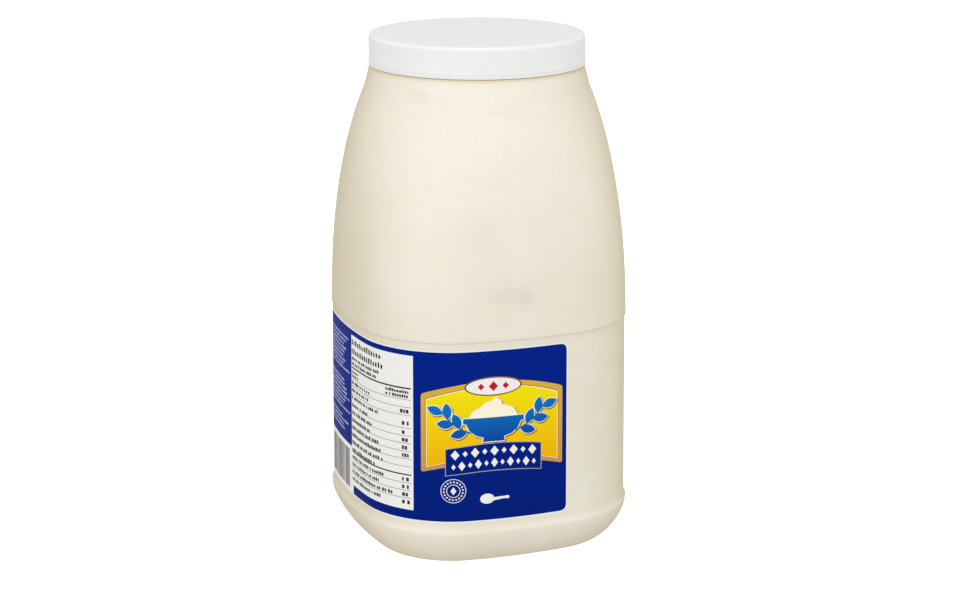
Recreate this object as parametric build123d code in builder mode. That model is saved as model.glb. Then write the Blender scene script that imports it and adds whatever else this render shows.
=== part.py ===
from build123d import *

import os
from math import cos, pi, radians, sin

# A wide-mouth one-gallon food jar, filled and shut: the blow-moulded jar, its screw lid and its wrap label.
# Millimetres, +Z up. The origin is the middle of the base, and the front face looks along -Y.

# Plan of the body: a square with bowed sides and round corners, a little wider towards the foot of the label panel
panel_width = 144.2  # face to face, at the middle of two opposite sides, at the panel's upper edge
panel_flare = 0.8  # how much further out the panel's lower edge lies, on each side
side_bow_radius = 218.0  # radius of each bowed side
side_bow_angle = 7.5  # degrees from a face's middle to where the corner arc takes over

# Heights of the body's zones, from the base up
heel_height = 17.7  # rounded heel, up to the widest line of the bumper
bumper_fall_height = 5.9  # from the bumper's widest line back in to the label panel
bumper_fall_power = 1.7  # how hollow that fall is: 1 is a plain slope
panel_height = 94.3
ledge_height = 0.7  # small step outwards above the panel
shoulder_height = 117.5
neck_band_height = 10.2

# Depths and radii of the body
bumper_depth = 1.05  # how far the bumper stands out from the panel
ledge_depth = 0.6  # how far the shoulder's foot stands out from the panel
heel_depth = 13.2  # how far the flat base lies inside the bumper
heel_power = 1.5  # superellipse exponent of the heel: 1 is a plain chamfer, 2 is an ellipse
heel_foot_angle = 14.0  # degrees along the heel's curve at which it leaves the floor
shoulder_power = 3.35  # how late the shoulder draws in towards the neck
shoulder_waist = 0.62  # how much flatter than that curve the shoulder is, halfway up
shoulder_waist_power = 0.7  # how evenly the flattening is spread: 1 is a sine
rounding_power = 2.55  # how late the bowed square turns into a circle
neck_band_flare = 2.65  # how much wider the neck band is at its foot, where the shoulder ends
neck_bow_extra = 0.55  # side radius over half width there: the neck is round to the eye

# Push-up under the base, inside the ring that the jar stands on
standing_ring_width = 9.0
push_up_depth = 2.4
push_up_slope_width = 4.0

# Neck finish, under the lid
finish_radius = 52.9
finish_chamfer = 1.2

# Lid
lid_height = 15.8
lid_skirt_thickness = 2.25
lid_top_thickness = 1.9
lid_rim_radius = 2.0  # rounding of the top edge
lid_bead_height = 2.3  # band at the skirt's lower edge
lid_bead_depth = 0.12
lid_clearance = 0.5  # between the neck finish and the inside of the skirt
lid_gap = 0.4  # between the neck band and the skirt's lower edge
lid_overhang = 0.45  # how far the skirt stands out from the top of the neck band

# Label, wrapped round the left face and half of the front and back faces
label_thickness = 0.2
label_end = 23.1  # from the middle of the front and back faces to the label's two ends
label_bottom_margin = 0.7  # from the panel's lower edge to the label's lower edge
label_top_margin = 3.4
label_corner_radius = 4.4

# Sizes worked out from these
panel_half = panel_width / 2
bumper_half = panel_half + panel_flare + bumper_depth
bumper_bow = side_bow_radius + panel_flare + bumper_depth
shoulder_half = panel_half + ledge_depth
shoulder_bow = side_bow_radius + ledge_depth
skirt_inner_radius = finish_radius + lid_clearance
lid_radius = skirt_inner_radius + lid_skirt_thickness
neck_band_top_radius = lid_radius - lid_overhang
neck_radius = neck_band_top_radius + neck_band_flare
neck_bow_radius = neck_radius + neck_bow_extra

panel_bottom = heel_height + bumper_fall_height
panel_top = panel_bottom + panel_height
shoulder_bottom = panel_top + ledge_height
shoulder_top = shoulder_bottom + shoulder_height
neck_band_top = shoulder_top + neck_band_height
lid_bottom = neck_band_top + lid_gap
lid_top = lid_bottom + lid_height
rim_top = lid_top - lid_top_thickness
panel_edges = ((panel_bottom, panel_flare), (panel_top, 0))  # height, and how far out
label_bottom = panel_bottom + label_bottom_margin
label_height = panel_top - label_top_margin - label_bottom


def bowed_square(half_width, bow_radius):
    """Returns the plan outline as a face: four bowed sides, and four corner arcs tangent to them."""
    bow = radians(side_bow_angle)
    corner_radius = bow_radius - (bow_radius - half_width) / (cos(bow) - sin(bow))
    corner_offset = (bow_radius - corner_radius) * sin(bow)
    with BuildSketch() as outline:
        with BuildLine():
            for turn in (0, 90, 180, 270):
                side_centre = Vector(half_width - bow_radius, 0).rotate(Axis.Z, turn)
                corner_centre = Vector(corner_offset, corner_offset).rotate(Axis.Z, turn)
                CenterArc(side_centre, bow_radius, turn - side_bow_angle, 2 * side_bow_angle)
                CenterArc(corner_centre, corner_radius, turn + side_bow_angle, 90 - 2 * side_bow_angle)
        make_face()
    return outline.sketch


def superellipse(angle):
    """Height and inset, as shares of the heel's two semi-axes, at an angle along its curve."""
    return 1 - cos(radians(angle)) ** (2 / heel_power), 1 - sin(radians(angle)) ** (2 / heel_power)


def heel_section(angle):
    """Height above the floor, and inset from the bumper's widest line, at an angle along the heel."""
    foot = superellipse(heel_foot_angle)[0]
    rise, inset = superellipse(angle)
    return heel_height * (rise - foot) / (1 - foot), heel_depth * inset


def shoulder_section(share):
    """Height, half width and side radius at a share of the way up the shoulder."""
    waist = shoulder_waist * sin(pi * share) ** shoulder_waist_power if 0 < share < 1 else 0
    half_width = shoulder_half - (shoulder_half - neck_radius) * share**shoulder_power - waist
    flat_curvature = 1 / shoulder_bow
    bow_curvature = flat_curvature + (1 / neck_bow_radius - flat_curvature) * share**rounding_power
    return shoulder_bottom + shoulder_height * share, half_width, 1 / bow_curvature


# The jar: heel and bumper, label panel, ledge, shoulder, neck band and neck finish
with BuildPart() as jar:
    for angle in (heel_foot_angle, 26, 38, 50, 62, 76, 90):
        height, inset = heel_section(angle)
        with BuildSketch(Plane.XY.offset(height)):
            add(bowed_square(bumper_half - inset, bumper_bow - inset))
    loft()

    for share in (0, 0.25, 0.5, 0.75, 1):
        inset = bumper_depth * (1 - (1 - share) ** bumper_fall_power)
        with BuildSketch(Plane.XY.offset(heel_height + bumper_fall_height * share)):
            add(bowed_square(bumper_half - inset, bumper_bow - inset))
    loft()

    for height, flare in panel_edges:
        with BuildSketch(Plane.XY.offset(height)):
            add(bowed_square(panel_half + flare, side_bow_radius + flare))
    loft()

    with BuildSketch(Plane.XY.offset(panel_top)):
        add(bowed_square(panel_half, side_bow_radius))
    with BuildSketch(Plane.XY.offset(shoulder_bottom)):
        add(bowed_square(shoulder_half, shoulder_bow))
    loft()

    for share in (0, 0.15, 0.3, 0.45, 0.6, 0.72, 0.82, 0.9, 0.96, 1):
        height, half_width, bow_radius = shoulder_section(share)
        with BuildSketch(Plane.XY.offset(height)):
            add(bowed_square(half_width, bow_radius))
    loft()

    with BuildSketch(Plane.XY.offset(shoulder_top)):
        add(bowed_square(neck_radius, neck_bow_radius))
    with BuildSketch(Plane.XY.offset(neck_band_top)):
        add(bowed_square(neck_band_top_radius, neck_band_top_radius + neck_bow_extra))
    loft()

    with BuildSketch(Plane.XZ):
        with BuildLine():
            Polyline(
                (0, neck_band_top),
                (finish_radius, neck_band_top),
                (finish_radius, rim_top - finish_chamfer),
                (finish_radius - finish_chamfer, rim_top),
                (0, rim_top),
                close=True,
            )
        make_face()
    revolve(axis=Axis.Z)

    push_up_inset = heel_section(heel_foot_angle)[1] + standing_ring_width
    push_up_half = bumper_half - push_up_inset
    push_up_bow = bumper_bow - push_up_inset
    with BuildSketch(Plane.XY):
        add(bowed_square(push_up_half, push_up_bow))
    with BuildSketch(Plane.XY.offset(push_up_depth)):
        add(bowed_square(push_up_half - push_up_slope_width, push_up_bow - push_up_slope_width))
    loft(mode=Mode.SUBTRACT)

# The lid: a flat cap whose skirt goes down over the neck finish
with BuildPart() as lid:
    skirt_outer_radius = lid_radius - lid_bead_depth
    with BuildSketch(Plane.XZ) as lid_profile:
        with BuildLine():
            Polyline(
                (0, rim_top),
                (skirt_inner_radius, rim_top),
                (skirt_inner_radius, lid_bottom),
                (lid_radius, lid_bottom),
                (lid_radius, lid_bottom + lid_bead_height),
                (skirt_outer_radius, lid_bottom + lid_bead_height + lid_bead_depth),
                (skirt_outer_radius, lid_top),
                (0, lid_top),
                close=True,
            )
        make_face()
        fillet(lid_profile.vertices().group_by(Axis.Y)[-1].sort_by(Axis.X)[-1], radius=lid_rim_radius)
    revolve(axis=Axis.Z)

# The label: a thin film on the panel, cut off square on the front and back faces, with round corners
with BuildPart() as label:
    for height, flare in panel_edges:
        with BuildSketch(Plane.XY.offset(height)):
            add(bowed_square(panel_half + flare + label_thickness, side_bow_radius + flare + label_thickness))
    loft()
    for height, flare in panel_edges:
        with BuildSketch(Plane.XY.offset(height)):
            add(bowed_square(panel_half + flare, side_bow_radius + flare))
    loft(mode=Mode.SUBTRACT)
    with BuildSketch(Plane.XZ) as label_side:
        with Locations((label_end, label_bottom)):
            Rectangle(panel_width + label_end, label_height, align=(Align.MAX, Align.MIN))
        fillet(label_side.vertices().group_by(Axis.X)[-1], radius=label_corner_radius)
    extrude(amount=panel_width, both=True, mode=Mode.INTERSECT)

jar.part.label = "jar"
lid.part.label = "lid"
label.part.label = "label"

os.makedirs("parts", exist_ok=True)
export_step(jar.part, "parts/jar.step")
export_step(lid.part, "parts/lid.step")
export_step(label.part, "parts/label.step")
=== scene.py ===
"""Looks of a shut wide-mouth food jar: the moulded jar, its screw lid and its printed wrap label.

Sizes are in millimetres until a mesh is made, +Z is up, and the front face looks along -Y. Overall sizes
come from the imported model, and the rest are fields of the class that makes the piece. Four Geometry Nodes
trees make what follows a rule: one lofts the jar and the lid through plan outlines, one wraps flat print
round the label panel, and two lay stamped shapes, in rows or along an arc, before they are wrapped.
"""

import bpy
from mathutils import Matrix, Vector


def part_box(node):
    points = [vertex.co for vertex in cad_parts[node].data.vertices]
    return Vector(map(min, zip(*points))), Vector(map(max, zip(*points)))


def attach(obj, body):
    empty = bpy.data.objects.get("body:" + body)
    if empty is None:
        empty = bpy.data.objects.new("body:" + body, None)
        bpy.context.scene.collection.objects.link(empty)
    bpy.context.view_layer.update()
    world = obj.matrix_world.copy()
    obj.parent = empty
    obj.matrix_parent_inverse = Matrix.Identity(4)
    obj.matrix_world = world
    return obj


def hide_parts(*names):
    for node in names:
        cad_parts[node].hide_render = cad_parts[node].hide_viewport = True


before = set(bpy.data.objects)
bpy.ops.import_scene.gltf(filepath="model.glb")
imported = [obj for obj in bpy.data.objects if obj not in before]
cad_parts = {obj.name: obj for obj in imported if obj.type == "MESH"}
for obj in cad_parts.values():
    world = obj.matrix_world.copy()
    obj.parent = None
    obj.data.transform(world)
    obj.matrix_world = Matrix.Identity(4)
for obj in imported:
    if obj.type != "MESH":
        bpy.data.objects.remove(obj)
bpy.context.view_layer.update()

import ast
import logging
import math
from dataclasses import dataclass, field
from enum import Enum

import bmesh
import bpy
from mathutils import Vector

log = logging.getLogger("jar")

MM = 0.001
TAU = math.tau
BODY = "root"

Point = tuple[float, float]
Box = tuple[float, float, float, float]
Outline = list[Point]
Level = tuple[float, float, float]
Value = float | int | tuple | bpy.types.NodeSocket


# ---------------------------------------------------------------- nodes


def linear(code: str) -> tuple[float, float, float, float]:
    """Turns an sRGB hex colour into linear RGBA.

    Args:
        code: six hex digits after a hash sign.

    Returns:
        Linear red, green and blue, and an alpha of 1.
    """
    parts = [int(code[i : i + 2], 16) / 255 for i in (1, 3, 5)]
    red, green, blue = (c / 12.92 if c <= 0.04045 else ((c + 0.055) / 1.055) ** 2.4 for c in parts)
    return red, green, blue, 1.0


OPERATIONS = {
    ast.Add: "ADD",
    ast.Sub: "SUBTRACT",
    ast.Mult: "MULTIPLY",
    ast.Div: "DIVIDE",
    ast.Pow: "POWER",
    ast.Lt: "LESS_THAN",
    "sin": "SINE",
    "cos": "COSINE",
    "atan2": "ARCTAN2",
    "sqrt": "SQRT",
    "floor": "FLOOR",
    "max": "MAXIMUM",
    "fold": "PINGPONG",
}


class NodeTree:
    """A node tree that is being built, and the values that its arithmetic knows by name."""

    def __init__(self, tree: bpy.types.NodeTree) -> None:
        """Takes the tree to build in."""
        self.tree = tree
        self.known: dict[str, Value] = {"tau": TAU}

    def feed(self, target: bpy.types.NodeSocket, value: Value | list[bpy.types.NodeSocket]) -> None:
        """Links a socket, or each of several, to an input, or sets the input to a plain value."""
        for item in value if isinstance(value, list) else [value]:
            if isinstance(item, bpy.types.NodeSocket):
                self.tree.links.new(item, target)
            else:
                target.default_value = item

    def add(self, kind: str, settings: dict | None = None, inputs: dict | None = None) -> bpy.types.Node:
        """Adds one node, with its settings, values and links.

        Args:
            kind: the node's type name.
            settings: node properties by name.
            inputs: a value, a socket or a list of sockets, by the input's name or number.

        Returns:
            The new node.
        """
        node = self.tree.nodes.new(kind)
        for name, value in (settings or {}).items():
            setattr(node, name, value)
        for key, value in (inputs or {}).items():
            self.feed(node.inputs[key], value)
        return node

    def let(self, **values: str | Value) -> None:
        """Keeps values under their names for later arithmetic; a text is arithmetic, built in its turn."""
        for name, value in values.items():
            self.known[name] = self.calc(value) if isinstance(value, str) else value

    def calc(self, text: str) -> Value:
        """Builds arithmetic as Math nodes.

        Args:
            text: arithmetic on numbers and known names, with the functions in OPERATIONS.

        Returns:
            The value, or the socket that holds it.
        """
        return self.solve(ast.parse(text).body[0].value)

    def solve(self, part: ast.AST) -> Value:
        """Builds one part of the arithmetic and returns its value."""
        if isinstance(part, ast.Constant):
            return float(part.value)
        if isinstance(part, ast.Name):
            return self.known[part.id]
        if isinstance(part, ast.BinOp):
            key, terms = type(part.op), [part.left, part.right]
        elif isinstance(part, ast.Compare):
            key, terms = type(part.ops[0]), [part.left, *part.comparators]
        else:
            key, terms = part.func.id, part.args
        inputs = dict(enumerate([self.solve(term) for term in terms]))
        return self.add("ShaderNodeMath", {"operation": OPERATIONS[key]}, inputs).outputs[0]


class SocketKind(Enum):
    """The kinds of input that a Geometry Nodes tree here takes."""

    GEOMETRY = "NodeSocketGeometry"
    NUMBER = "NodeSocketFloat"
    COUNT = "NodeSocketInt"
    MATERIAL = "NodeSocketMaterial"


def plain(name: str) -> str:
    """An input's name as arithmetic and arguments spell it."""
    return name.lower().replace(" ", "_")


class GeometryTree(NodeTree):
    """A Geometry Nodes tree with named inputs, which turns one piece's mesh into its finished mesh."""

    def __init__(self, name: str, numbers: tuple[str, ...], counts: tuple[str, ...] = ()) -> None:
        """Starts the tree, whose arithmetic knows its inputs.

        Args:
            name: the tree's name.
            numbers: names of the inputs that are measures.
            counts: names of the inputs that are whole numbers.
        """
        super().__init__(bpy.data.node_groups.new(name, "GeometryNodeTree"))
        kinds = {"Geometry": SocketKind.GEOMETRY} | dict.fromkeys(counts, SocketKind.COUNT)
        kinds |= dict.fromkeys(numbers, SocketKind.NUMBER) | {"Material": SocketKind.MATERIAL}
        face = self.tree.interface
        for label, kind in kinds.items():
            face.new_socket(label, in_out="INPUT", socket_type=kind.value)
        face.new_socket("Geometry", in_out="OUTPUT", socket_type=SocketKind.GEOMETRY.value)
        self.inputs = self.add("NodeGroupInput").outputs
        self.known |= {plain(label): self.inputs[label] for label in kinds}

    def position(self) -> list[bpy.types.NodeSocket]:
        """Adds each point's place, and returns its X, Y and Z."""
        place = self.add("GeometryNodeInputPosition").outputs[0]
        return list(self.add("ShaderNodeSeparateXYZ", inputs={0: place}).outputs)

    def vector(self, x: str, y: str, z: str = "0") -> bpy.types.NodeSocket:
        """Joins three parts, each given as arithmetic, into a vector."""
        parts = {"X": self.calc(x), "Y": self.calc(y), "Z": self.calc(z)}
        return self.add("ShaderNodeCombineXYZ", inputs=parts).outputs[0]

    def end(self, geometry: bpy.types.NodeSocket) -> None:
        """Realizes the geometry, gives it the Material input and ends the tree."""
        real = self.add("GeometryNodeRealizeInstances", inputs={"Geometry": geometry}).outputs[0]
        dress = {"Geometry": real, "Material": self.inputs["Material"]}
        dressed = self.add("GeometryNodeSetMaterial", inputs=dress).outputs[0]
        self.add("NodeGroupOutput", inputs={"Geometry": dressed})

    def apply(self, piece: bpy.types.Object, **values: object) -> None:
        """Runs the tree on a piece and keeps the result as its plain mesh.

        Args:
            piece: the object whose mesh the tree starts from.
            values: the tree's inputs, named with underscores for spaces.
        """
        modifier = piece.modifiers.new(self.tree.name, "NODES")
        modifier.node_group = self.tree
        for item in self.tree.interface.items_tree:
            if item.in_out == "INPUT" and plain(item.name) in values:
                modifier[item.identifier] = values[plain(item.name)]
        seen = piece.evaluated_get(bpy.context.evaluated_depsgraph_get())
        made = bpy.data.meshes.new_from_object(seen)
        piece.modifiers.remove(modifier)
        made.name = piece.name
        piece.data = made


class LoftTree(GeometryTree):
    """Lofts a closed skin through level plan outlines of four bowed sides and four tangent corner arcs.

    Each vertex of the incoming mesh is one outline, in order from the middle of the underside: X is its half
    width, Y the radius of its bowed sides and Z its height. An outline whose two sizes are equal is a circle.
    Bow Angle is the angle from a side's middle to where its corner arc starts, seen from the side's centre.
    """

    def __init__(self) -> None:
        """Builds the tree."""
        super().__init__("loft_outlines", ("Bow Angle",), ("Segments",))
        rows = self.inputs["Geometry"]
        count = self.add("GeometryNodeAttributeDomainSize", inputs={"Geometry": rows}).outputs["Point Count"]
        sizes = {"Size X": 1.0, "Size Y": 1.0, "Vertices X": self.calc("segments + 1"), "Vertices Y": count}
        grid = self.add("GeometryNodeMeshGrid", inputs=sizes).outputs["Mesh"]
        across, along, _ = self.position()
        self.let(across=across, along=along, count=count)
        place = self.add("GeometryNodeInputPosition").outputs[0]
        row = self.calc("floor((along + 0.5) * (count - 1) + 0.5)")
        sample = {"Geometry": rows, "Value": place, "Index": row}
        outline = self.add("GeometryNodeSampleIndex", {"data_type": "FLOAT_VECTOR"}, sample).outputs[0]
        half, bow, height = self.add("ShaderNodeSeparateXYZ", inputs={0: outline}).outputs
        self.let(half=half, bow=bow, height=height, angle="(across + 0.5) * tau")
        self.let(radius=self.polar_radius())
        target = self.vector("radius * cos(angle)", "radius * sin(angle)", "height")
        skin = self.add("GeometryNodeSetPosition", inputs={"Geometry": grid, "Position": target}).outputs[0]
        merge = {"Geometry": skin, "Distance": 1e-6}
        closed = self.add("GeometryNodeMergeByDistance", inputs=merge).outputs[0]
        self.end(self.add("GeometryNodeSetShadeSmooth", inputs={"Geometry": closed}).outputs[0])

    def polar_radius(self) -> Value:
        """Builds the distance from the axis to the outline, in the direction of the angle.

        The direction is folded to run from a side's middle (0) to a corner's middle (an eighth turn). A side
        is an arc about a centre behind the axis, and a corner an arc about a centre on the diagonal.

        Returns:
            The socket that holds the distance.
        """
        self.let(
            a="fold(angle, tau / 8)",
            behind="bow - half",
            corner="bow - behind / (cos(bow_angle) - sin(bow_angle))",
            offset="(bow - corner) * sin(bow_angle)",
            limit="atan2(bow * sin(bow_angle), half - bow + bow * cos(bow_angle))",
            on_side="sqrt(bow * bow - behind * behind * sin(a) * sin(a)) - behind * cos(a)",
            chord="sqrt(corner * corner - offset * offset * (1 - sin(a * 2)))",
            on_corner="offset * (cos(a) + sin(a)) + chord",
        )
        return self.calc("on_corner + (on_side - on_corner) * (a < limit)")


class WrapTree(GeometryTree):
    """Gives flat print a thickness and wraps it round the label panel.

    In the incoming mesh X is the arc length round the panel's upper edge from the middle of the front face, Y
    is the height, and the faces look along +Z, which becomes the outward direction.
    """

    def __init__(self) -> None:
        """Builds the tree."""
        sizes = ("Half Width", "Bow Radius", "Bow Angle", "Flare", "Flare Bottom", "Flare Top")
        super().__init__("wrap_print", ("Thickness", "Lift", *sizes))
        flat = self.inputs["Geometry"]
        push = {"Mesh": flat, "Offset Scale": self.inputs["Thickness"], "Individual": False}
        raised = self.add("GeometryNodeExtrudeMesh", {"mode": "FACES"}, push).outputs["Mesh"]
        under = self.add("GeometryNodeFlipFaces", inputs={"Mesh": flat}).outputs[0]
        joined = self.add("GeometryNodeJoinGeometry", inputs={"Geometry": [raised, under]}).outputs[0]
        merge = {"Geometry": joined, "Distance": 1e-6}
        slab = self.add("GeometryNodeMergeByDistance", inputs=merge).outputs[0]
        along, height, depth = self.position()
        self.let(along=along, height=height, depth=depth)
        self.let(
            half_side="bow_angle * bow_radius",
            corner="bow_radius - (bow_radius - half_width) / (cos(bow_angle) - sin(bow_angle))",
            offset="(bow_radius - corner) * sin(bow_angle)",
            quarter="2 * half_side + (tau / 8 - bow_angle) * 2 * corner",
            face="floor((along + half_side) / quarter)",
            rest="along - face * quarter",
            on_side="rest < half_side",
            corner_bend="bow_angle + (rest - half_side) / corner",
            bend="corner_bend + (rest / bow_radius - corner_bend) * on_side",
            radius="corner + (bow_radius - corner) * on_side",
            centre_x="offset + (half_width - bow_radius - offset) * on_side",
            centre_y="offset - offset * on_side",
            turn="(face - 1) * tau / 4",
            spread="flare * (flare_top - height) / (flare_top - flare_bottom)",
            out="radius + depth + lift + spread",
        )
        x = "centre_x * cos(turn) - centre_y * sin(turn) + out * cos(turn + bend)"
        y = "centre_x * sin(turn) + centre_y * cos(turn) + out * sin(turn + bend)"
        target = {"Geometry": slab, "Position": self.vector(x, y, "height")}
        self.end(self.add("GeometryNodeSetPosition", inputs=target).outputs[0])


class RowsTree(GeometryTree):
    """Lays copies of a unit stamp in rows of uneven widths, as printed words, bars and ornaments are laid."""

    def __init__(self) -> None:
        """Builds the tree."""
        numbers = ("Left", "Top", "Row Length", "Row Pitch", "Ragged", "Narrow", "Wide", "Low", "High")
        numbers += ("Gap", "Word Gap", "Word Chance")
        super().__init__("stamp_rows", numbers, ("Rows", "Stamps", "Seed"))
        line = self.add("GeometryNodeMeshLine", inputs={"Count": self.calc("rows * stamps")}).outputs[0]
        self.let(index=self.add("GeometryNodeInputIndex").outputs[0], row="floor((index + 0.5) / stamps)")
        self.let(width=self.draw("narrow", "wide", "index", 0), height=self.draw("low", "high", "index", 1))
        self.let(chance=self.draw("0", "1", "index", 2), short=self.draw("0", "ragged", "row", 3))
        step = self.calc("width + (gap + word_gap * (chance < word_chance))")
        grouped = {"Value": step, "Group ID": self.known["row"]}
        kind = {"data_type": "FLOAT"}
        start = self.add("GeometryNodeAccumulateField", kind, grouped).outputs["Trailing"]
        self.let(start=start)
        target = {"Geometry": line, "Position": self.vector("left + start", "top - row * row_pitch")}
        copies = {
            "Points": self.add("GeometryNodeSetPosition", inputs=target).outputs[0],
            "Selection": self.calc("start + width < row_length * (1 - short)"),
            "Instance": self.inputs["Geometry"],
            "Scale": self.vector("width", "height", "1"),
        }
        self.end(self.add("GeometryNodeInstanceOnPoints", inputs=copies).outputs[0])

    def draw(self, low: str, high: str, key: str, use: int) -> bpy.types.NodeSocket:
        """Builds a random number for each key.

        Args:
            low: smallest number.
            high: largest number.
            key: what the number is drawn for, such as the copy or its row.
            use: number of this use, so that draws for different uses differ.

        Returns:
            The socket that holds the number.
        """
        inputs = {2: self.calc(low), 3: self.calc(high), "ID": self.calc(key)}
        inputs["Seed"] = self.calc(f"seed + {use}")
        return self.add("FunctionNodeRandomValue", {"data_type": "FLOAT"}, inputs).outputs[1]


class ArcTree(GeometryTree):
    """Lays copies of a unit stamp along an arc, turned from it by a tilt that changes side in turn."""

    def __init__(self) -> None:
        """Builds the tree."""
        numbers = ("Centre X", "Centre Y", "Radius", "Start", "Step", "Tilt", "Length", "Width", "Shrink")
        super().__init__("stamp_arc", numbers, ("Count",))
        line = self.add("GeometryNodeMeshLine", inputs={"Count": self.inputs["Count"]}).outputs[0]
        self.let(
            index=self.add("GeometryNodeInputIndex").outputs[0],
            angle="start + index * step",
            lean="tilt * (1 - 2 * fold(index, 1))",
            onward="tau / 4 * step / max(step, 0 - step)",
            size="1 - shrink * index / count",
        )
        spot = self.vector("centre_x + radius * cos(angle)", "centre_y + radius * sin(angle)")
        target = {"Geometry": line, "Position": spot}
        copies = {
            "Points": self.add("GeometryNodeSetPosition", inputs=target).outputs[0],
            "Instance": self.inputs["Geometry"],
            "Rotation": self.vector("0", "0", "angle + onward + lean"),
            "Scale": self.vector("length * size", "width * size", "1"),
        }
        self.end(self.add("GeometryNodeInstanceOnPoints", inputs=copies).outputs[0])


# ---------------------------------------------------------------- finishes


COLOURS = {"data_type": "RGBA", "clamp_factor": True}


def per(size: float) -> float:
    """Scale of a pattern whose features are that many millimetres apart."""
    return 1 / (size * MM)


class Surface(NodeTree):
    """A material that is being built."""

    def __init__(self, name: str) -> None:
        """Starts a material under that name."""
        self.material = bpy.data.materials.new(name)
        self.material.use_nodes = True
        super().__init__(self.material.node_tree)

    def dress(self, inputs: dict[str, Value]) -> bpy.types.Material:
        """Sets and links the shader's inputs by their names, and returns the finished material."""
        shader = self.tree.nodes["Principled BSDF"]
        for name, value in inputs.items():
            self.feed(shader.inputs[name], value)
        return self.material


@dataclass(frozen=True)
class Mottle:
    """Soft variation of a finish: two colours mixed by noise, and a fine bump."""

    light: str
    dark: str
    grain: float  # mm, size of the colour patches
    pit: float  # mm, spacing of the surface's fine unevenness
    pit_depth: float  # mm


@dataclass(frozen=True)
class Blotch:
    """A faint greyer patch on the wall, with a soft, uneven outline, at a given place."""

    place: tuple[float, float, float]  # mm, its middle
    size: tuple[float, float, float]  # mm, half its extent along each axis
    strength: float  # share of the grey at its middle


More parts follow.
